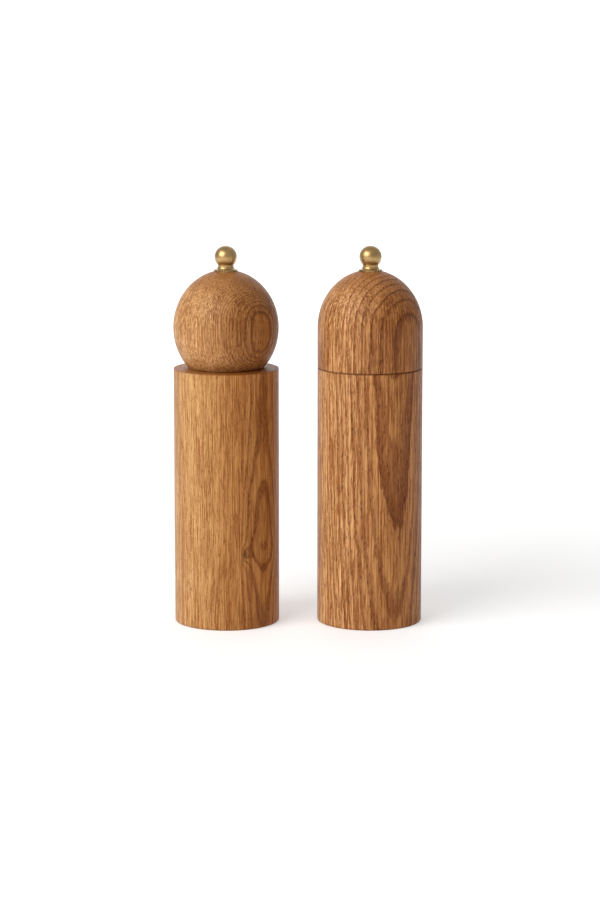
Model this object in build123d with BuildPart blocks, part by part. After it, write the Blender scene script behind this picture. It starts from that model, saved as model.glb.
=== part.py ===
"""A pair of turned oak mills, one for salt and one for pepper.

Each mill is a wooden body with a grinder in its base and a hopper above it, closed by a wooden head
that turns a square spindle. A brass ball knob on the spindle's threaded end sets how fine it grinds.
The salt mill has a ball-shaped head and the pepper mill a domed one; the works inside are the same.

Units are millimetres. The origin is on the surface the mills stand on, midway between them, +Z is up,
and the salt mill is on the -X side.
"""

import os
from math import atan2, degrees, sqrt

from build123d import *

# Outside of both mills
BODY_R = 30.0
MILL_SPACING = 82.0
BODY_TOP = 147.0
HEAD_BOTTOM = 147.2
HEAD_TOP = 202.9
CROWN_RISE = 32.8  # half height of the ellipsoid that the top of each head is part of
DOME_WALL = 23.0  # height of the straight wall under the crown of the domed head
SEAT_Z = 202.0  # flat spot under the knob
FOOT_ROUND = 1.0
SEAM_ROUND = 0.35

# Bores in the body, from the foot up
OUTLET_R = 24.0
OUTLET_TOP = 11.0
WORKS_R = 18.05
WORKS_TOP = 34.0
HOPPER_R = 16.5
MOUTH_CHAMFER = 0.6

# Head: the spigot that centres it in the hopper, and its bores
SPIGOT_R = 16.2
SPIGOT_BOTTOM = 137.0
SPIGOT_CHAMFER = 0.6
HEAD_BORE_R = 4.0
PLATE_RECESS_R = 13.2

# Spindle
SQUARE = 5.0
SQUARE_CHAMFER = 0.35
SQUARE_BOTTOM = 12.0
SQUARE_TOP = 198.0
SQUARE_FIT = 0.15  # gap on each side of the square, in the holes it slides through
THREAD_R = 2.5
JOURNAL_R = 2.45
SPINDLE_BOTTOM = 8.2
SPINDLE_TOP = 211.3
SPINDLE_CHAMFER = 0.4

# Knob and its toothed washer
KNOB_BALL_R = 6.35
KNOB_BALL_Z = 210.3
KNOB_NECK_R = 4.5
KNOB_NECK_Z = 204.9
KNOB_FOOT_R = 6.3
KNOB_FOOT_EDGE = 0.2
KNOB_BORE_R = 2.56
KNOB_BORE_TOP = 212.0
WASHER_R = 6.75
WASHER_BORE_R = 2.7
WASHER_THICK = 0.9
WASHER_TEETH = 40
WASHER_NOTCH_R = 0.32
SEAT_GAP = 0.05  # between pieces that rest on each other but move apart

# Drive plate in the underside of the head
PLATE_R = 13.0
PLATE_THICK = 1.5
PLATE_SCREW_AT = 9.0
PLATE_SCREWS = 2

# Bearing spider above the burrs, and its bush
SPIDER_R = 17.95
SPIDER_BOTTOM = 31.5
SPIDER_RIM_R = 15.2
SPIDER_HUB_R = 6.8
SPIDER_BORE_R = 4.3
SPIDER_ARM = 3.6
SPIDER_ARMS = 3
BUSH_R = 4.22
BUSH_FLANGE_R = 6.2
BUSH_FLANGE = 1.2
BUSH_TOP = 34.8

# Burrs. Both have fine teeth below STEP_Z and coarse flutes above it
STEP_Z = 15.0
STATOR_BOTTOM = 11.05
STATOR_LIP_R = 14.45
STATOR_STEP_R = 13.3
STATOR_THROAT_R = 12.7
STATOR_THROAT_Z = 22.0
STATOR_FUNNEL_R = 15.0
STATOR_FLUTES = 12
STATOR_FLUTE_R = 0.8
ROTOR_BOTTOM = 11.5
ROTOR_TOP = 22.5
ROTOR_RIM_R = 14.1
ROTOR_STEP_R = 12.95
ROTOR_TOP_R = 6.6
ROTOR_FLUTES = 8
ROTOR_FLUTE_R = 1.5
ROTOR_FLUTE_SKEW = 0.55  # sideways lean of a flute, against its run along the cone
FINE_TEETH = 36
FINE_TOOTH_R = 0.55

# Spring between the bush and the rotor
SPRING_R = 5.0
SPRING_WIRE_R = 0.45
SPRING_COILS = 5.0

# Washer and clip that hold the rotor on the spindle
ROTOR_WASHER_R = 6.0
ROTOR_WASHER_BORE_R = 2.6
ROTOR_WASHER_THICK = 1.0
CLIP_BOTTOM = 9.6
CLIP_THICK = 0.7
CLIP_R = 4.9
CLIP_RIM_R = 3.5
CLIP_GRIP_R = 1.95
CLIP_PRONGS = 3
CLIP_PRONG = 2.0
CLIP_MOUTH = 3.6
GROOVE_R = 1.9

# Ring that holds the stator in the body
RING_R = 23.7
RING_BORE_R = 15.2
RING_THICK = 1.5
RING_SCREW_AT = 21.0
RING_SCREWS = 3

# Countersunk wood screws, used in the drive plate and in the ring
SCREW_HEAD_R = 2.7
SCREW_HEAD_HIGH = 1.4
SCREW_SHANK_R = 1.4
SCREW_LONG = 9.5
SCREW_POINT = 2.2
SCREW_POINT_R = 0.15
SCREW_GAP = 0.06
CROSS_LONG = 3.0
CROSS_WIDE = 0.7
CROSS_DEEP = 0.9

HEAD_CENTRE_Z = HEAD_TOP - CROWN_RISE
PLATE_TOP = SPIGOT_BOTTOM + PLATE_THICK
RING_BOTTOM = OUTLET_TOP - RING_THICK
BUSH_BOTTOM = SPIDER_BOTTOM - SEAT_GAP - BUSH_FLANGE
CLIP_TOP = CLIP_BOTTOM + CLIP_THICK
STANDING = (Align.CENTER, Align.CENTER, Align.MIN)


def level(x, z):
    """The horizontal plane at height z, centred on a mill's axis."""
    return Plane(origin=(x, 0, z))


def section(x):
    """The upright plane through a mill's axis, where a turned profile is drawn as (radius, height)."""
    return Plane(origin=(x, 0, 0), x_dir=(1, 0, 0), z_dir=(0, -1, 0))


def centre_line(x):
    return Axis((x, 0, 0), (0, 0, 1))


def corner(profile, radius, height):
    """The corner of a turned profile, as it stands so far, that is nearest to a point."""
    return profile.vertices().sort_by_distance((radius, height))[0]


def crown_radius(z):
    """Radius of the head's ellipsoid at height z."""
    return BODY_R * sqrt(1 - ((z - HEAD_CENTRE_Z) / CROWN_RISE) ** 2)


def crown_angle(z):
    """Where height z is on the crown's ellipse, as the ellipse's own angle."""
    return degrees(atan2((z - HEAD_CENTRE_Z) / CROWN_RISE, crown_radius(z) / BODY_R))


def square_hole(height):
    """Cuts the hole that the square spindle slides through, from the part's workplane up."""
    side = SQUARE + 2 * SQUARE_FIT
    Box(side, side, height, align=STANDING, mode=Mode.SUBTRACT)


def screw_hole():
    """Cuts the countersunk hole that one screw fills, head down, from the part's workplane up."""
    Cone(
        SCREW_HEAD_R + SCREW_GAP,
        SCREW_SHANK_R + SCREW_GAP,
        SCREW_HEAD_HIGH,
        align=STANDING,
        mode=Mode.SUBTRACT,
    )
    Cylinder(SCREW_SHANK_R + SCREW_GAP, SCREW_LONG + SCREW_GAP, align=STANDING, mode=Mode.SUBTRACT)


def wood_screws(x, z, radius, count):
    """A ring of wood screws pointing up, with crossed slots in heads that lie flush at height z."""
    with BuildPart(level(x, z)) as screws:
        with PolarLocations(radius, count, start_angle=90):
            Cone(SCREW_HEAD_R, SCREW_SHANK_R, SCREW_HEAD_HIGH, align=STANDING)
            Cylinder(SCREW_SHANK_R, SCREW_LONG - SCREW_POINT, align=STANDING)
            Box(CROSS_LONG, CROSS_WIDE, CROSS_DEEP, align=STANDING, mode=Mode.SUBTRACT)
            Box(CROSS_WIDE, CROSS_LONG, CROSS_DEEP, align=STANDING, mode=Mode.SUBTRACT)
            with Locations((0, 0, SCREW_LONG - SCREW_POINT)):
                Cone(SCREW_SHANK_R, SCREW_POINT_R, SCREW_POINT, align=STANDING)
    return screws


def oak_body(x):
    """Body: a cylinder bored for the outlet, the grinder and the hopper."""
    with BuildPart(level(x, RING_BOTTOM)) as body:
        with BuildSketch(section(x)) as wall:
            with BuildLine():
                Polyline(
                    (OUTLET_R, 0),
                    (BODY_R, 0),
                    (BODY_R, BODY_TOP),
                    (HOPPER_R, BODY_TOP),
                    (HOPPER_R, WORKS_TOP),
                    (WORKS_R, WORKS_TOP),
                    (WORKS_R, OUTLET_TOP),
                    (OUTLET_R, OUTLET_TOP),
                    close=True,
                )
            make_face()
            fillet(corner(wall, BODY_R, 0), FOOT_ROUND)
            fillet(corner(wall, BODY_R, BODY_TOP), SEAM_ROUND)
            chamfer(corner(wall, HOPPER_R, BODY_TOP), MOUTH_CHAMFER)
        revolve(axis=centre_line(x))
        with PolarLocations(RING_SCREW_AT, RING_SCREWS, start_angle=90):
            screw_hole()
    return body


def oak_head(x, crown_start):
    """Head: straight up to crown_start, then the crown, with a spigot below and a bore right through."""
    with BuildPart(level(x, SPIGOT_BOTTOM)) as head:
        with BuildSketch(section(x)) as wood:
            with BuildLine():
                crown = EllipticalCenterArc(
                    (0, HEAD_CENTRE_Z),
                    BODY_R,
                    CROWN_RISE,
                    start_angle=crown_angle(crown_start),
                    arc_size=crown_angle(SEAT_Z) - crown_angle(crown_start),
                )
                if crown_start > HEAD_BOTTOM:
                    Line(crown @ 0, (crown_radius(crown_start), HEAD_BOTTOM))
                Polyline(
                    crown @ 1,
                    (HEAD_BORE_R, SEAT_Z),
                    (HEAD_BORE_R, PLATE_TOP),
                    (PLATE_RECESS_R, PLATE_TOP),
                    (PLATE_RECESS_R, SPIGOT_BOTTOM),
                    (SPIGOT_R, SPIGOT_BOTTOM),
                    (SPIGOT_R, HEAD_BOTTOM),
                    (crown_radius(crown_start), HEAD_BOTTOM),
                )
            make_face()
            fillet(corner(wood, crown_radius(crown_start), HEAD_BOTTOM), SEAM_ROUND)
            chamfer(corner(wood, SPIGOT_R, SPIGOT_BOTTOM), SPIGOT_CHAMFER)
        revolve(axis=centre_line(x))
        with PolarLocations(PLATE_SCREW_AT, PLATE_SCREWS, start_angle=90):
            screw_hole()
    return head


def knob(x):
    """Knob: a ball on a waisted neck that flares to a foot, with a blind threaded hole."""
    neck_meets_ball = KNOB_BALL_Z - sqrt(KNOB_BALL_R**2 - KNOB_NECK_R**2)
    foot = SEAT_Z + WASHER_THICK + 2 * SEAT_GAP
    with BuildPart() as part:
        with BuildSketch(section(x)):
            with BuildLine():
                start = degrees(atan2(neck_meets_ball - KNOB_BALL_Z, KNOB_NECK_R))
                ball = CenterArc((0, KNOB_BALL_Z), KNOB_BALL_R, start, 90 - start)
                neck = Line(ball @ 0, (KNOB_NECK_R, KNOB_NECK_Z))
                flare = TangentArc(neck @ 1, (KNOB_FOOT_R, foot + KNOB_FOOT_EDGE), tangent=(0, -1))
                Polyline(
                    flare @ 1,
                    (KNOB_FOOT_R, foot),
                    (KNOB_BORE_R, foot),
                    (KNOB_BORE_R, KNOB_BORE_TOP),
                    (0, KNOB_BORE_TOP),
                    ball @ 1,
                )
            make_face()
        revolve(axis=centre_line(x))
    return part


def lock_washer(x):
    """Toothed washer: keeps the knob from working loose."""
    with BuildPart() as washer:
        with BuildSketch(level(x, SEAT_Z + SEAT_GAP)):
            Circle(WASHER_R)
            Circle(WASHER_BORE_R, mode=Mode.SUBTRACT)
            with PolarLocations(WASHER_R, WASHER_TEETH):
                Circle(WASHER_NOTCH_R, mode=Mode.SUBTRACT)
        extrude(amount=WASHER_THICK)
    return washer


def spindle(x):
    """Spindle: a square bar, turned round for the knob's thread at the top and for the clip below."""
    with BuildPart() as bar:
        with BuildSketch(level(x, SQUARE_BOTTOM)):
            square = Rectangle(SQUARE, SQUARE)
            chamfer(square.vertices(), SQUARE_CHAMFER)
        extrude(amount=SQUARE_TOP - SQUARE_BOTTOM)
        with BuildSketch(section(x)):
            with BuildLine():
                Polyline(
                    (0, SPINDLE_BOTTOM),
                    (JOURNAL_R - SPINDLE_CHAMFER, SPINDLE_BOTTOM),
                    (JOURNAL_R, SPINDLE_BOTTOM + SPINDLE_CHAMFER),
                    (JOURNAL_R, CLIP_BOTTOM - SEAT_GAP),
                    (GROOVE_R, CLIP_BOTTOM - SEAT_GAP),
                    (GROOVE_R, CLIP_TOP + SEAT_GAP),
                    (JOURNAL_R, CLIP_TOP + SEAT_GAP),
                    (JOURNAL_R, SQUARE_TOP),
                    (THREAD_R, SQUARE_TOP),
                    (THREAD_R, SPINDLE_TOP - SPINDLE_CHAMFER),
                    (THREAD_R - SPINDLE_CHAMFER, SPINDLE_TOP),
                    (0, SPINDLE_TOP),
                    close=True,
                )
            make_face()
        revolve(axis=centre_line(x))
    return bar


def drive_plate(x):
    """Drive plate: turns the spindle with the head, which can still lift off it."""
    with BuildPart(level(x, SPIGOT_BOTTOM)) as plate:
        Cylinder(PLATE_R, PLATE_THICK, align=STANDING)
        square_hole(PLATE_THICK)
        with PolarLocations(PLATE_SCREW_AT, PLATE_SCREWS, start_angle=90):
            screw_hole()
    return plate


def bearing_spider(x):
    """Bearing spider: a rim on the body's shoulder, with arms that carry the bush."""
    with BuildPart() as spider:
        with BuildSketch(level(x, SPIDER_BOTTOM)):
            Circle(SPIDER_R)
            Circle(SPIDER_RIM_R, mode=Mode.SUBTRACT)
            Circle(SPIDER_HUB_R)
            with PolarLocations((SPIDER_RIM_R + SPIDER_BORE_R) / 2, SPIDER_ARMS):
                Rectangle(SPIDER_RIM_R - SPIDER_BORE_R + 1, SPIDER_ARM)
            Circle(SPIDER_BORE_R, mode=Mode.SUBTRACT)
        extrude(amount=WORKS_TOP - SPIDER_BOTTOM)
    return spider


def bearing_bush(x):
    """Bush: turns in the spider with the spindle, which slides up and down in its square hole."""
    with BuildPart(level(x, BUSH_BOTTOM)) as bush:
        Cylinder(BUSH_FLANGE_R, BUSH_FLANGE, align=STANDING)
        Cylinder(BUSH_R, BUSH_TOP - BUSH_BOTTOM, align=STANDING)
        square_hole(BUSH_TOP - BUSH_BOTTOM)
    return bush


def cone_plane(radius, z, radius_above, z_above, skew=0.0):
    """A plane across the line that climbs a cone from one radius and height to another."""
    rise = (radius_above - radius, skew * (z_above - z), z_above - z)
    return Plane(origin=(radius, 0, z), x_dir=(0, 1, -skew), z_dir=rise)


def stator(x):
    """Stator: the outer burr, a funnel down to a throat that opens again between its fine teeth."""
    with BuildPart() as fine_cutter:
        with BuildSketch(cone_plane(STATOR_LIP_R, STATOR_BOTTOM, STATOR_STEP_R, STEP_Z)):
            RegularPolygon(FINE_TOOTH_R, 3, rotation=-90)
        extrude(amount=STEP_Z - STATOR_BOTTOM, both=True)
    with BuildPart(level(x, 0)) as burr:
        with BuildSketch(section(x)):
            with BuildLine():
                Polyline(
                    (STATOR_LIP_R, STATOR_BOTTOM),
                    (STATOR_STEP_R, STEP_Z),
                    (STATOR_THROAT_R, STATOR_THROAT_Z),
                    (STATOR_FUNNEL_R, SPIDER_BOTTOM),
                    (SPIDER_R, SPIDER_BOTTOM),
                    (SPIDER_R, STATOR_BOTTOM),
                    close=True,
                )
            make_face()
        revolve(axis=centre_line(x))
        with PolarLocations(0, FINE_TEETH):
            add(fine_cutter.part, mode=Mode.SUBTRACT)
        with BuildSketch(level(x, STEP_Z + FINE_TOOTH_R)):
            with PolarLocations(STATOR_THROAT_R, STATOR_FLUTES):
                Circle(STATOR_FLUTE_R)
        extrude(amount=SPIDER_BOTTOM - STEP_Z, mode=Mode.SUBTRACT)
    return burr


def rotor(x):
    """Rotor: the inner burr, a cone that cracks the corns on its flutes and grinds them at its rim."""
    with BuildPart() as fine_cutter:
        with BuildSketch(cone_plane(ROTOR_RIM_R, ROTOR_BOTTOM, ROTOR_STEP_R, STEP_Z)):
            RegularPolygon(FINE_TOOTH_R, 3, rotation=90)
        extrude(amount=STEP_Z - ROTOR_BOTTOM, both=True)
    with BuildPart() as flute_cutter:
        flute = cone_plane(ROTOR_STEP_R, STEP_Z, ROTOR_TOP_R, ROTOR_TOP, skew=ROTOR_FLUTE_SKEW)
        with BuildSketch(flute):
            Circle(ROTOR_FLUTE_R)
        extrude(amount=2 * (ROTOR_TOP - STEP_Z))
    with BuildPart(level(x, 0)) as burr:
        with BuildSketch(section(x)):
            with BuildLine():
                Polyline(
                    (0, ROTOR_BOTTOM),
                    (ROTOR_RIM_R, ROTOR_BOTTOM),
                    (ROTOR_STEP_R, STEP_Z),
                    (ROTOR_TOP_R, ROTOR_TOP),
                    (0, ROTOR_TOP),
                    close=True,
                )
            make_face()
        revolve(axis=centre_line(x))
        with PolarLocations(0, FINE_TEETH):
            add(fine_cutter.part, mode=Mode.SUBTRACT)
        with PolarLocations(0, ROTOR_FLUTES):
            add(flute_cutter.part, mode=Mode.SUBTRACT)
        square_hole(ROTOR_TOP)
    return burr


def spring(x):
    """Spring: pushes the rotor down, so that slackening the knob opens the gap between the burrs."""
    low = ROTOR_TOP + SEAT_GAP + SPRING_WIRE_R
    high = BUSH_BOTTOM - SEAT_GAP - SPRING_WIRE_R
    with BuildPart() as coil:
        with BuildLine():
            wire = Helix((high - low) / SPRING_COILS, high - low, SPRING_R, center=(x, 0, low))
        with BuildSketch(Plane(origin=wire @ 0, z_dir=wire % 0)):
            Circle(SPRING_WIRE_R)
        sweep(path=wire)
    return coil


def rotor_washer(x):
    with BuildPart(level(x, CLIP_TOP + SEAT_GAP)) as washer:
        Cylinder(ROTOR_WASHER_R, ROTOR_WASHER_THICK, align=STANDING)
        Hole(ROTOR_WASHER_BORE_R)
    return washer


def spindle_clip(x):
    """Clip: an E-shaped spring clip whose three prongs grip the spindle's groove."""
    with BuildPart() as clip:
        with BuildSketch(level(x, CLIP_BOTTOM)):
            Circle(CLIP_R)
            Circle(CLIP_RIM_R, mode=Mode.SUBTRACT)
            with PolarLocations((CLIP_R + CLIP_GRIP_R) / 2, CLIP_PRONGS, start_angle=90):
                Rectangle(CLIP_R - CLIP_GRIP_R, CLIP_PRONG)
            Circle(CLIP_GRIP_R, mode=Mode.SUBTRACT)
            with Locations((0, -CLIP_R)):
                Rectangle(CLIP_MOUTH, CLIP_R, mode=Mode.SUBTRACT)
        extrude(amount=CLIP_THICK)
    return clip


def retaining_ring(x):
    """Ring: screwed under the body's shoulder, it holds the stator and the spider up in their bore."""
    with BuildPart(level(x, RING_BOTTOM)) as ring:
        Cylinder(RING_R, RING_THICK, align=STANDING)
        Hole(RING_BORE_R)
        with PolarLocations(RING_SCREW_AT, RING_SCREWS, start_angle=90):
            screw_hole()
    return ring


# Each mill's place along X, and the height where its head's crown starts
MILLS = {
    "salt": (-MILL_SPACING / 2, HEAD_BOTTOM),
    "pepper": (MILL_SPACING / 2, HEAD_BOTTOM + DOME_WALL),
}

os.makedirs("parts", exist_ok=True)
for mill, (x, crown_start) in MILLS.items():
    pieces = {
        "body": oak_body(x),
        "head": oak_head(x, crown_start),
        "knob": knob(x),
        "knob_washer": lock_washer(x),
        "spindle": spindle(x),
        "drive_plate": drive_plate(x),
        "drive_plate_screws": wood_screws(x, SPIGOT_BOTTOM, PLATE_SCREW_AT, PLATE_SCREWS),
        "bearing_spider": bearing_spider(x),
        "bearing_bush": bearing_bush(x),
        "spring": spring(x),
        "stator": stator(x),
        "rotor": rotor(x),
        "rotor_washer": rotor_washer(x),
        "spindle_clip": spindle_clip(x),
        "retaining_ring": retaining_ring(x),
        "ring_screws": wood_screws(x, RING_BOTTOM, RING_SCREW_AT, RING_SCREWS),
    }
    for name, piece in pieces.items():
        piece.part.label = f"{mill}_{name}"
        export_step(piece.part, f"parts/{mill}_{name}.step")
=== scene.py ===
"""How the pair of oak mills looks: grain, metals and ceramic, light, floor and camera.

Sizes are metres in the row frame. Grain is worked out in millimetres from each mill's own axis.
"""

import math
from types import SimpleNamespace

import bpy
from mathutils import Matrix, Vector


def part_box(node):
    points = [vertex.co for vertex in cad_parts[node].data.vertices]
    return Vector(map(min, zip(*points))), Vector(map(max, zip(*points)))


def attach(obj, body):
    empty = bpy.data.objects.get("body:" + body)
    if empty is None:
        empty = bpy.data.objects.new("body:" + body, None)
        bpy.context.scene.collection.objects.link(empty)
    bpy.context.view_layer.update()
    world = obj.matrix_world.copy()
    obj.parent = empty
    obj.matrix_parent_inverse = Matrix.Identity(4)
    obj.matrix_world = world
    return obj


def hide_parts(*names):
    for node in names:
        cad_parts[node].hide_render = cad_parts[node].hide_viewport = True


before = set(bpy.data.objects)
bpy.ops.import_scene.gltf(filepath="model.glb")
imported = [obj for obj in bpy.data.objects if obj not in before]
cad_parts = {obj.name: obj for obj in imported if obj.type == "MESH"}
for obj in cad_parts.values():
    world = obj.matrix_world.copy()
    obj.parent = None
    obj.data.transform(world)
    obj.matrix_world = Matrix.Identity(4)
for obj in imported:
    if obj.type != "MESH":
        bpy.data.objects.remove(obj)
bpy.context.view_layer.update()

MM = 0.001
BODY_RADIUS = 30.0
SEAM_Z = 147.1
SALT_X, PEPPER_X = -41.0, 41.0

# What stretches Blender's noise, which keeps to 0.2 to 0.8, over about -1 to 1
NOISE_GAIN = 3.2


# ---------------------------------------------------------------------------------------- materials


class Graph:
    """Builds one material's nodes. Each call returns an output socket and takes sockets or values."""

    def __init__(self, name):
        self.material = bpy.data.materials.new(name)
        self.material.use_nodes = True
        self.tree = self.material.node_tree
        self.tree.nodes.clear()
        self.shader = self.node("BsdfPrincipled")
        output = self.node("OutputMaterial")
        self.tree.links.new(self.shader.outputs[0], output.inputs["Surface"])

    def node(self, kind, inputs=(), **settings):
        node = self.tree.nodes.new("ShaderNode" + kind)
        for name, value in settings.items():
            setattr(node, name, value)
        for name, value in dict(inputs).items():
            self.feed(node.inputs[name], value)
        return node

    def feed(self, socket, value):
        if isinstance(value, bpy.types.NodeSocket):
            self.tree.links.new(value, socket)
        else:
            socket.default_value = value

    def surface(self, **inputs):
        """Sets the shader's own sockets: base_color=..., coat_weight=..."""
        for name, value in inputs.items():
            title = name.replace("_", " ").title().replace("Ior", "IOR")
            self.feed(self.shader.inputs[title], value)

    def math(self, operation, *values, clamp=False):
        return self.node("Math", enumerate(values), operation=operation, use_clamp=clamp).outputs[0]

    def add(self, a, b):
        return self.math("ADD", a, b)

    def times(self, a, b):
        return self.math("MULTIPLY", a, b)

    def linear(self, a, b, c):
        """a times b plus c."""
        return self.math("MULTIPLY_ADD", a, b, c)

    def vector(self, operation, *values):
        return self.node("VectorMath", enumerate(values), operation=operation).outputs[0]

    def length(self, vector):
        return self.node("VectorMath", {0: vector}, operation="LENGTH").outputs["Value"]

    def scaled(self, vector, x, y, z):
        """vector with each part divided by the size a pattern has along it."""
        return self.vector("MULTIPLY", vector, (1 / x, 1 / y, 1 / z))

    def parts(self, vector):
        return self.node("SeparateXYZ", {0: vector}).outputs

    def join(self, x, y, z):
        return self.node("CombineXYZ", {0: x, 1: y, 2: z}).outputs[0]

    def noise(self, vector, detail=2.0, roughness=0.5):
        """Smooth noise from about -1 to 1, its features about one unit across."""
        inputs = {"Vector": vector, "Scale": 1.0, "Detail": detail, "Roughness": roughness}
        fac = self.node("TexNoise", inputs).outputs["Fac"]
        return self.linear(fac, NOISE_GAIN, -NOISE_GAIN / 2)

    def cells(self, vector):
        """Distance to the nearest of scattered points, about one to each unit cube."""
        return self.node("TexVoronoi", {"Vector": vector, "Scale": 1.0}).outputs["Distance"]

    def wander(self, vector, size, reach):
        """vector moved sideways by smooth noise, up to about reach each way."""
        inputs = {"Vector": self.scaled(vector, *size), "Scale": 1.0, "Detail": 1.0}
        sway = self.vector("SUBTRACT", self.node("TexNoise", inputs).outputs["Color"], (0.5, 0.5, 0.5))
        stretch = (NOISE_GAIN * reach, NOISE_GAIN * reach, 0.0)
        return self.vector("ADD", vector, self.vector("MULTIPLY", sway, stretch))

    def spot(self, across, up, wood, bearing, height, width, length):
        """Distance from a spot on a mill's side, in units of the spot's half width and half length."""
        aside = BODY_RADIUS * math.sin(math.radians(bearing - wood.facing))
        offset = self.vector("SUBTRACT", self.join(0.0, across, up), (0.0, aside, height))
        return self.length(self.scaled(offset, 1.0, width, length))

    def bell(self, distance):
        """1 at no distance, falling to 0 smoothly."""
        return self.math("POWER", math.e, self.times(self.times(distance, distance), -1.0))

    def step(self, value, low, high):
        """0 below low and 1 above high, smooth in between. high below low turns it round."""
        inputs = {"Value": value, "From Min": low, "From Max": high}
        return self.node("MapRange", inputs, interpolation_type="SMOOTHSTEP").outputs[0]

    def ramp(self, value, stops):
        """A grey value that follows stops, a list of (place, value)."""
        node = self.node("ValToRGB", {0: value})
        ramp = node.color_ramp
        while len(ramp.elements) < len(stops):
            ramp.elements.new(0.5)
        for element, (place, grey) in zip(ramp.elements, stops):
            element.position = place
            element.color = (grey, grey, grey, 1.0)
        return node.outputs[0]

    def mix(self, factor, a, b, blend="MIX"):
        """Colour a turning into b, or b laid over a with another blend."""
        node = self.node("Mix", data_type="RGBA", blend_type=blend)
        for socket, value in zip((node.inputs[0], node.inputs[6], node.inputs[7]), (factor, a, b)):
            self.feed(socket, value)
        return node.outputs[2]

    def bump(self, height, depth, strength):
        """The normal of a surface raised by height times depth, in metres."""
        return self.node("Bump", {"Height": height, "Distance": depth, "Strength": strength}).outputs[0]

    def place(self):
        """The point being shaded, in the row frame at rest, in millimetres."""
        return self.scaled(self.node("TexCoord").outputs["Object"], MM, MM, MM)


def srgb(*levels):
    """A colour given as 0-255 screen levels, as the linear RGBA that Blender's sockets take."""
    linear = [c / 255 / 12.92 if c <= 10 else ((c / 255 + 0.055) / 1.055) ** 2.4 for c in levels]
    return (*linear, 1.0)


END_GRAIN_TINT = (0.66, 0.48, 0.29, 1.0)
KNOT_HEART = srgb(80, 42, 18)


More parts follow.
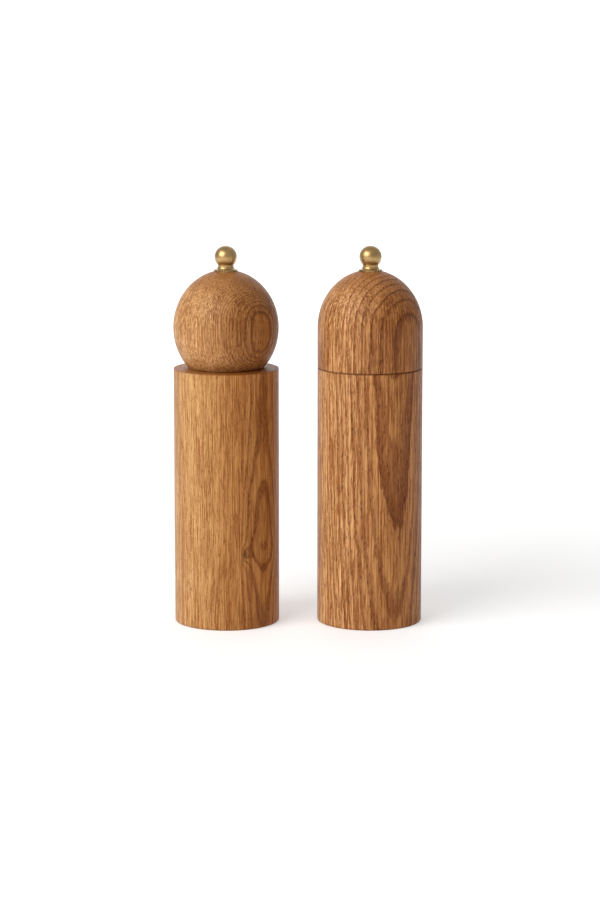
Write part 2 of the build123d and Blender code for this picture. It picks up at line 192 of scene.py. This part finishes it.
def oak(name, wood):
    """Ring-porous oak with upright grain. Lengths are millimetres.

    facing    bearing of the side that faced the outside of the tree, in degrees, 0 at the front and positive to the right
    ring      width of a year's growth
    pith      how far the tree's centre was from the mill's axis
    lean      how much the rings lean out over each millimetre of height
    phase     where in a year the mill's axis lies
    seed      what decides which years are strong
    fade      from where to where, towards the outside of the tree, the rings come out fully
    quiet     how strong the rings are before that
    swells    bulges in the rings, as (bearing, height, width, length, how far)
    knots     small knots, as (bearing, height, radius)
    line      a year's thin dark line, and band the broad band of the strong years, as ramps over the year
    sway      how far the fibres weave from side to side
    light     colour of the ground, down to dark in its deepest streaks
    bark  painted shade: what the colour is multiplied by where the tint is full, darker and redder on the
    side away from the lamp
    tint      from where to where the tint comes in, along a line tint_turn degrees past facing
    early     colour of the early wood, laid on as strongly as rings says
    pore      spacing of the pores across the grain, and dash along it; crowd is how full they lie
    ink       how dark the pores are, in the colour pit, which also paints the shade in the seam and at the foot
    lanes     how many weaving fibres lie round the mill; cell is how long a weave is, braiding how deep
    """
    g = Graph(name)
    local = g.vector("SUBTRACT", g.place(), (wood.centre, 0.0, 0.0))
    turned = {"Vector": local, "Angle": math.radians(90 - wood.facing)}
    straight = g.node("VectorRotate", turned, rotation_type="Z_AXIS").outputs[0]
    out, across, up = g.parts(straight)
    grain = g.wander(straight, (2.6, 2.6, 12.0), wood.sway)

    # Years of growth: the distance from the pith, which is what the rings are drawn on
    growth = g.add(g.length(g.join(g.add(out, wood.pith), across, 0.0)), -wood.pith)
    growth = g.linear(up, wood.lean, growth)
    for bearing, height, width, length, rise in wood.swells:
        bell = g.bell(g.spot(across, up, wood, bearing, height, width, length))
        growth = g.linear(bell, rise, growth)
    heart = 0.0
    bark_side = g.step(out, 0.0, 12.0)
    for bearing, height, radius in wood.knots:
        bell = g.bell(g.spot(across, up, wood, bearing, height, radius, 1.5 * radius))
        growth = g.linear(g.times(bell, bark_side), 1.5 * wood.ring, growth)
        core = g.bell(g.spot(across, up, wood, bearing, height, 0.6 * radius, radius))
        heart = g.linear(core, bark_side, heart)
    slow = g.noise(g.scaled(grain, 16, 16, 60), detail=1.0)
    quick = g.noise(g.scaled(grain, 3.2, 3.2, 12), detail=2.0)
    streak = g.noise(g.scaled(grain, 0.8, 0.8, 9), detail=2.0)
    ragged = g.add(g.times(slow, 0.15), g.times(quick, 0.12))
    years = g.linear(growth, 1 / wood.ring, wood.phase)
    years = g.add(years, g.linear(streak, 0.05, ragged))

    # Every year leaves a thin dark line of early wood. The strong years leave a broad brown band as well
    year = g.linear(g.math("FLOOR", years), 12.9898, wood.seed)
    vigour = g.math("FRACT", g.times(g.math("SINE", year), 437.58))
    season = g.math("FRACT", years)
    line = g.ramp(season, wood.line)
    band = g.ramp(season, wood.band)
    line = g.times(line, g.linear(vigour, 0.3, 0.7))
    patchy = g.linear(streak, 0.5, 0.85)
    band = g.times(g.times(band, vigour), patchy)
    plain = g.linear(g.step(out, *wood.fade), 1.0 - wood.quiet, wood.quiet)
    early = g.times(g.math("MAXIMUM", line, band), plain)

    # Open pores: short dark dashes, crowded in the early wood
    from_pore = g.cells(g.scaled(grain, wood.pore, wood.pore, wood.dash))
    reach = g.linear(early, 0.2, wood.crowd)
    pores = g.step(g.math("SUBTRACT", from_pore, reach), 0.09, -0.09)

    # Fibres that part and join again: two sets of upright lines that weave across each other
    facing_up = g.math("ABSOLUTE", g.parts(g.node("TexCoord").outputs["Normal"])[2])
    lanes = g.times(g.math("ARCTAN2", across, out), wood.lanes / math.tau)
    weave = g.noise(g.scaled(straight, 3.0, 3.0, wood.cell), detail=1.0)
    weave = g.times(weave, g.linear(g.step(out, 30.0, 19.0), 0.55, 0.12))
    braid = 0.0
    for side in (-1.0, 1.0):
        lane = g.math("FRACT", g.linear(weave, side, lanes))
        aside = g.math("ABSOLUTE", g.add(lane, -0.5))
        braid = g.math("MAXIMUM", braid, g.step(aside, 0.26, 0.04))
    broken = g.step(g.noise(g.scaled(grain, 1.2, 1.2, 8.0)), -0.7, 0.5)
    broken = g.times(broken, g.linear(g.step(out, 22.0, 29.0), -0.4, 1.0))
    braid = g.times(braid, g.times(broken, g.step(facing_up, 0.8, 0.3)))
    fibre = g.noise(g.scaled(grain, 0.55, 0.55, 14), detail=4.0, roughness=0.6)
    strand = g.noise(g.scaled(grain, 1.0, 1.0, 40), detail=2.0)
    tone = g.noise(g.scaled(grain, 7, 7, 50), detail=2.0)
    depth = g.linear(fibre, 0.75, 0.42)
    depth = g.linear(strand, 0.6, depth)
    depth = g.linear(tone, 0.3, depth)
    depth = g.linear(braid, wood.braiding, depth)

    colour = g.mix(g.math("MULTIPLY", depth, 1.0, clamp=True), wood.light, wood.dark)
    colour = g.mix(g.math("MULTIPLY", early, wood.rings, clamp=True), colour, wood.early)
    colour = g.mix(g.times(pores, wood.ink), colour, wood.pit)
    rays = g.step(g.noise(g.scaled(straight, 5.0, 0.5, 1.6)), 0.2, 0.9)
    colour = g.mix(g.times(rays, 0.4), colour, wood.light)
    # Painted shade: the colour turns darker and redder towards the side away from the key lamp, along a line
    # tint_turn degrees past facing
    aslant = math.radians(wood.tint_turn)
    barkward = g.linear(across, math.sin(aslant), g.times(out, math.cos(aslant)))
    colour = g.mix(g.step(barkward, *wood.tint), colour, g.mix(1.0, colour, wood.bark, "MULTIPLY"))
    end_grain = g.times(g.step(facing_up, 0.5, 1.0), 0.9)
    colour = g.mix(end_grain, colour, g.mix(1.0, colour, END_GRAIN_TINT, "MULTIPLY"))
    # Painted shade: the sides darken in the seam between head and body and along the lowest millimetre at
    # the foot, where shade falls
    groove = g.step(g.math("ABSOLUTE", g.add(up, -SEAM_Z)), 0.9, 0.3)
    groove = g.math("MAXIMUM", groove, g.step(up, 1.1, 0.3))
    groove = g.times(groove, g.step(facing_up, 0.9, 0.5))
    colour = g.mix(g.times(groove, 0.5), colour, wood.pit)
    if wood.knots:
        colour = g.mix(g.math("MULTIPLY", heart, 0.8, clamp=True), colour, KNOT_HEART)

    relief = g.linear(pores, -1.0, g.times(fibre, 0.25))
    relief = g.linear(g.math("MAXIMUM", early, braid), -0.35, relief)
    rough = g.linear(pores, 0.2, g.linear(fibre, 0.05, 0.40))
    g.surface(
        base_color=colour, roughness=rough, specular_ior_level=0.15, normal=g.bump(relief, 0.00018, 0.9)
    )
    return g.material


def brass(name):
    g = Graph(name)
    at = g.place()
    cloud = g.noise(g.scaled(at, 2.5, 2.5, 2.5), detail=3.0)
    lines = g.noise(g.scaled(at, 40.0, 40.0, 0.09), detail=2.0)
    colour = g.mix(g.step(cloud, -1.0, 1.0), srgb(190, 155, 98), srgb(162, 127, 73))
    rough = g.linear(lines, 0.04, g.linear(cloud, 0.03, 0.38))
    g.surface(
        base_color=colour,
        metallic=1.0,
        roughness=rough,
        coat_weight=0.8,
        coat_roughness=0.22,
        normal=g.bump(lines, 0.00001, 0.35),
    )
    return g.material


def steel(name, light, dark, base_rough, grain_size):
    g = Graph(name)
    at = g.place()
    cloud = g.noise(g.scaled(at, 4, 4, 4), detail=3.0)
    grain = g.noise(g.scaled(at, grain_size, grain_size, grain_size), detail=3.0)
    colour = g.mix(g.step(g.add(cloud, g.times(grain, 0.4)), -1.2, 1.2), dark, light)
    rough = g.linear(cloud, 0.03, g.linear(grain, 0.04, base_rough))
    g.surface(base_color=colour, metallic=1.0, roughness=rough, normal=g.bump(grain, 0.00002, 0.4))
    return g.material


def ceramic(name):
    g = Graph(name)
    at = g.place()
    grain = g.noise(g.scaled(at, 0.35, 0.35, 0.35), detail=3.0)
    cloud = g.noise(g.scaled(at, 5, 5, 5), detail=2.0)
    speck = g.step(g.cells(g.scaled(at, 0.9, 0.9, 0.9)), 0.2, 0.05)
    colour = g.mix(g.step(cloud, -1, 1), srgb(241, 237, 228), srgb(232, 226, 214))
    colour = g.mix(g.times(speck, 0.25), colour, srgb(190, 180, 162))
    rough = g.linear(grain, 0.06, 0.62)
    g.surface(base_color=colour, roughness=rough, normal=g.bump(grain, 0.00003, 0.5))
    return g.material


def nylon(name):
    g = Graph(name)
    at = g.place()
    cloud = g.noise(g.scaled(at, 3, 3, 3), detail=2.0)
    grain = g.noise(g.scaled(at, 0.25, 0.25, 0.25), detail=2.0)
    colour = g.mix(g.step(cloud, -1, 1), srgb(236, 233, 222), srgb(226, 221, 206))
    g.surface(
        base_color=colour,
        roughness=g.linear(grain, 0.05, 0.48),
        subsurface_weight=0.15,
        normal=g.bump(grain, 0.00002, 0.3),
    )
    return g.material


# A year's dark early wood as a grey value against its share of the year
THIN_LINE = [(0.0, 0.3), (0.07, 1.0), (0.2, 0.75), (0.34, 0.1), (0.9, 0.0), (1.0, 0.2)]
WIDE_LINE = [(0.0, 0.4), (0.06, 1.0), (0.28, 0.8), (0.42, 0.1), (0.9, 0.0), (1.0, 0.3)]
EVEN_BAND = [(0.0, 0.4), (0.08, 0.9), (0.25, 0.3), (0.4, 0.0)]
BROAD_BAND = [
    (0.0, 0.2), (0.14, 0.75), (0.4, 0.9), (0.58, 0.6), (0.68, 0.1), (0.76, 0.1), (0.84, 0.5), (1.0, 0.2)
]
PIECES_OF_OAK = {
    "salt_body_oak": SimpleNamespace(
        centre=SALT_X, facing=45, ring=0.95, pith=90, lean=0.0, phase=0.51, seed=182.1,
        fade=(25.0, 28.5), quiet=0.2,
        swells=[(45, 62, 400, 36, 1.45), (45, 46, 400, 8, 0.65)], knots=[(21, 44, 2.8)],
        line=WIDE_LINE, band=EVEN_BAND, sway=0.35,
        light=srgb(210, 162, 106), dark=srgb(150, 96, 46), bark=(0.74, 0.56, 0.37, 1.0), tint=(2.0, 31.0),
        tint_turn=0,
        early=srgb(126, 72, 28), pore=0.75, dash=4.0, crowd=0.16, ink=0.55, pit=srgb(96, 50, 18),
        lanes=150, cell=10.0, braiding=0.5, rings=0.75,
    ),
    "salt_head_oak": SimpleNamespace(
        centre=SALT_X, facing=44, ring=0.8, pith=60, lean=0.0, phase=0.35, seed=66.6,
        fade=(24.0, 29.6), quiet=0.65,
        swells=[(44, 170, 400, 16, -3.1)], knots=[], line=WIDE_LINE, band=EVEN_BAND, sway=0.35,
        light=srgb(220, 170, 114), dark=srgb(150, 96, 48), bark=(0.52, 0.37, 0.23, 1.0), tint=(2.0, 31.0),
        tint_turn=0,
        early=srgb(118, 66, 26), pore=0.75, dash=3.5, crowd=0.18, ink=0.6, pit=srgb(84, 44, 16),
        lanes=150, cell=8.0, braiding=0.35, rings=0.75,
    ),
    "pepper_body_oak": SimpleNamespace(
        centre=PEPPER_X, facing=28, ring=2.4, pith=120, lean=0.05, phase=0.35, seed=136.0,
        fade=(0.0, 12.0), quiet=0.5,
        swells=[(28, 147, 400, 50, -2.0)], knots=[], line=WIDE_LINE, band=BROAD_BAND, sway=0.45,
        light=srgb(234, 182, 126), dark=srgb(152, 95, 48), bark=(0.63, 0.48, 0.32, 1.0), tint=(-16.0, 31.0),
        tint_turn=32,
        early=srgb(132, 73, 29), pore=0.85, dash=5.0, crowd=0.14, ink=0.6, pit=srgb(84, 40, 14),
        lanes=98, cell=11.0, braiding=0.6, rings=0.95,
    ),
    "pepper_head_oak": SimpleNamespace(
        centre=PEPPER_X, facing=47, ring=3.4, pith=120, lean=0.0, phase=0.74, seed=222.9,
        fade=(0.0, 12.0), quiet=0.8,
        swells=[], knots=[], line=THIN_LINE, band=EVEN_BAND, sway=0.5,
        light=srgb(221, 166, 111), dark=srgb(140, 85, 41), bark=(0.55, 0.41, 0.27, 1.0), tint=(2.0, 31.0),
        tint_turn=0,
        early=srgb(116, 62, 26), pore=0.85, dash=5.0, crowd=0.14, ink=0.6, pit=srgb(80, 38, 14),
        lanes=98, cell=11.0, braiding=0.7, rings=0.8,
    ),
}

materials = {slot: oak(slot, wood) for slot, wood in PIECES_OF_OAK.items()}
materials["knob_brass"] = brass("knob_brass")
materials["spindle_alloy"] = steel("spindle_alloy", srgb(206, 207, 210), srgb(196, 197, 201), 0.38, 0.3)
materials["plate_steel"] = steel("plate_steel", srgb(205, 206, 208), srgb(176, 178, 182), 0.38, 0.4)
materials["screw_steel"] = steel("screw_steel", srgb(214, 205, 176), srgb(190, 178, 142), 0.34, 0.3)
materials["spring_steel"] = steel("spring_steel", srgb(190, 191, 194), srgb(150, 151, 155), 0.30, 0.2)
materials["pepper_burr_steel"] = steel("pepper_burr_steel", srgb(118, 116, 114), srgb(84, 83, 82), 0.45, 0.4)
materials["salt_burr_ceramic"] = ceramic("salt_burr_ceramic")
materials["bush_nylon"] = nylon("bush_nylon")

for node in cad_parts.values():
    for holder in node.material_slots:
        holder.material = materials[holder.material.name]


# ---------------------------------------------------------------------- the knob's thread and washer


def placed(name, data):
    """A new object in the scene that shows data."""
    obj = bpy.data.objects.new(name, data)
    bpy.context.scene.collection.objects.link(obj)
    return obj


def smooth_mesh(name, points, faces):
    mesh = bpy.data.meshes.new(name)
    mesh.from_pydata(points, [], faces)
    mesh.polygons.foreach_set("use_smooth", [True] * len(faces))
    return mesh


SHARP_DEGREES = 32


def rings_to_mesh(name, rings, closed, finish):
    """A mesh of rings of points in millimetres, each joined to the next, capped or joined end to end."""
    around, count = len(rings[0]), len(rings)
    points = [(x * MM, y * MM, z * MM) for ring in rings for x, y, z in ring]
    faces = []
    for i in range(count if closed else count - 1):
        low, high = i * around, (i + 1) % count * around
        for j in range(around):
            k = (j + 1) % around
            faces.append((low + j, low + k, high + k, high + j))
    if not closed:
        faces.append(tuple(reversed(range(around))))
        faces.append(tuple(range((count - 1) * around, count * around)))
    obj = placed(name, smooth_mesh(name, points, faces))
    obj.data.set_sharp_from_angle(angle=math.radians(SHARP_DEGREES))
    obj.data.materials.append(materials[finish])
    return obj


def round_ring(centre, angles, radius, z):
    return [(centre + radius * math.cos(a), radius * math.sin(a), z) for a in angles]


def threaded_spindle(mill, centre):
    """The spindle with its M5 thread. Heights and radii are those of the plain CAD spindle.

    half is half the square's width, and corner is where x + y is cut off at its bevelled edges.
    """
    half, corner = 2.5, 4.65
    journal, groove, chamfer = 2.45, 1.9, 0.4
    bottom, square_bottom, square_top, top = 8.2, 12.0, 198.0, 211.3
    groove_bottom, groove_top = 9.55, 10.35
    crest, depth, pitch, rings_per_turn = 2.5, 0.4, 0.8, 8
    edges = [math.atan2(corner - half, half), math.atan2(half, corner - half)]
    quarter = sorted([math.radians(7.5 * i) for i in range(12) if i not in (5, 6, 7)] + edges)
    angles = [a + math.pi / 2 * i for i in range(4) for a in quarter]

    def square(z):
        ring = []
        for a in angles:
            c, s = abs(math.cos(a)), abs(math.sin(a))
            r = min(half / max(c, s), corner / (c + s))
            ring.append((centre + r * math.cos(a), r * math.sin(a), z))
        return ring

    def thread(z):
        ring = []
        for a in angles:
            share = (z / pitch - a / math.tau) % 1.0
            r = crest - depth * abs(2.0 * share - 1.0)
            r = min(r, crest - chamfer + top - z)
            ring.append((centre + r * math.cos(a), r * math.sin(a), z))
        return ring

    turned = [
        (journal - chamfer, bottom), (journal, bottom + chamfer),
        (journal, groove_bottom), (groove, groove_bottom), (groove, groove_top), (journal, groove_top),
        (journal, square_bottom),
    ]
    rings = [round_ring(centre, angles, r, z) for r, z in turned]
    rings += [square(square_bottom), square(square_top)]
    steps = round((top - square_top) / pitch * rings_per_turn)
    rings += [thread(square_top + (top - square_top) * i / steps) for i in range(steps + 1)]
    obj = rings_to_mesh(f"{mill}_spindle_threaded", rings, False, "spindle_alloy")
    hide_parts(f"{mill}_spindle")
    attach(obj, f"{mill}_shaft")


def toothed_washer(mill, centre):
    """The washer under the knob, with teeth cut deep enough to show under the knob's foot."""
    low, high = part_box(f"{mill}_knob_washer")
    tip, bottom, top = (high[1] - low[1]) / 2 / MM, low[2] / MM, high[2] / MM
    bore, root, bevel, teeth = 2.7, tip - 1.0, 0.12, 40
    half_root, half_tip = 0.32, 0.26
    angles, reach = [], []
    for i in range(teeth):
        middle = math.tau * i / teeth
        for side, r in ((-half_root, root), (-half_tip, tip), (half_tip, tip), (half_root, root)):
            angles.append(middle + side / r)
            reach.append(r)

    def ring(inset, z):
        edge = [(a, r - inset) for a, r in zip(angles, reach)]
        return [(centre + r * math.cos(a), r * math.sin(a), z) for a, r in edge]

    rings = [ring(0.0, bottom), ring(0.0, top - bevel), ring(bevel, top)]
    rings += [round_ring(centre, angles, bore, z) for z in (top, bottom)]
    obj = rings_to_mesh(f"{mill}_knob_washer_toothed", rings, True, "knob_brass")
    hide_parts(f"{mill}_knob_washer")
    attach(obj, f"{mill}_washer")


for mill, centre in (("salt", SALT_X), ("pepper", PEPPER_X)):
    threaded_spindle(mill, centre)
    toothed_washer(mill, centre)


# ------------------------------------------------------------------------------- floor, light, camera


def sweep():
    """A white sweep: a floor that curves up into a wall behind the mills."""
    wide, front, bend, radius, rise, steps = 6.0, -6.0, 2.2, 1.2, 4.0, 16
    profile = [(front, 0.0), (bend, 0.0)]
    for i in range(1, steps + 1):
        a = math.pi / 2 * i / steps
        profile.append((bend + radius * math.sin(a), radius * (1 - math.cos(a))))
    profile.append((bend + radius, rise))
    points = [(x, y, z) for x in (-wide, wide) for y, z in profile]
    count = len(profile)
    faces = [(i, i + count, i + count + 1, i + 1) for i in range(count - 1)]
    obj = placed("sweep", smooth_mesh("sweep", points, faces))

    # White paper that glows a little, less close to the mills, and pale grey far to either side
    g = Graph("sweep_paper")
    at = g.place()
    away = g.length(at)
    tooth = g.noise(g.scaled(at, 0.6, 0.6, 0.6), detail=2.0)
    aisle = g.step(g.math("ABSOLUTE", g.parts(at)[0]), 2600.0, 600.0)
    colour = g.mix(g.step(tooth, -1, 1), srgb(231, 231, 231), srgb(233, 233, 232))
    glow = g.linear(g.step(away, 200.0, 900.0), 0.32, 0.33)
    g.surface(
        base_color=g.mix(aisle, srgb(192, 192, 192), colour),
        roughness=0.8,
        emission_color=(1.0, 1.0, 1.0, 1.0),
        emission_strength=g.times(glow, g.linear(aisle, 0.7, 0.3)),
        normal=g.bump(tooth, 0.00002, 0.2),
    )
    obj.data.materials.append(g.material)


def softbox(name, place, spot, wide, high, watts):
    """An oblong lamp at place that points at spot."""
    light = bpy.data.lights.new(name, "AREA")
    light.shape, light.size, light.size_y = "RECTANGLE", wide, high
    light.energy = watts
    obj = placed(name, light)
    obj.location = place
    obj.rotation_euler = (Vector(spot) - obj.location).to_track_quat("-Z", "Y").to_euler()


sweep()
softbox("key", place=(-1.24, -1.11, 1.21), spot=(0, 0, 0.1), wide=1.58, high=1.28, watts=31)

world = bpy.data.worlds.new("studio")
bpy.context.scene.world = world
world.use_nodes = True
background = world.node_tree.nodes["Background"]
background.inputs["Color"].default_value = (1.0, 1.0, 1.0, 1.0)
background.inputs["Strength"].default_value = 0.5

# The camera was fitted to the photo's outlines. It looks down and a touch to the right
DOWN_DEGREES, RIGHT_DEGREES = 9.776, 0.146
camera_data = bpy.data.cameras.new("camera")
camera_data.sensor_width = 36.0
camera_data.lens = 112.8
camera_data.clip_end = 50.0
camera = placed("camera", camera_data)
camera.location = (-0.003, -1.5922, 0.3736)
camera.rotation_euler = (math.radians(90 - DOWN_DEGREES), 0.0, math.radians(-RIGHT_DEGREES))
bpy.context.scene.camera = camera
bpy.context.scene.view_settings.view_transform = "Standard"
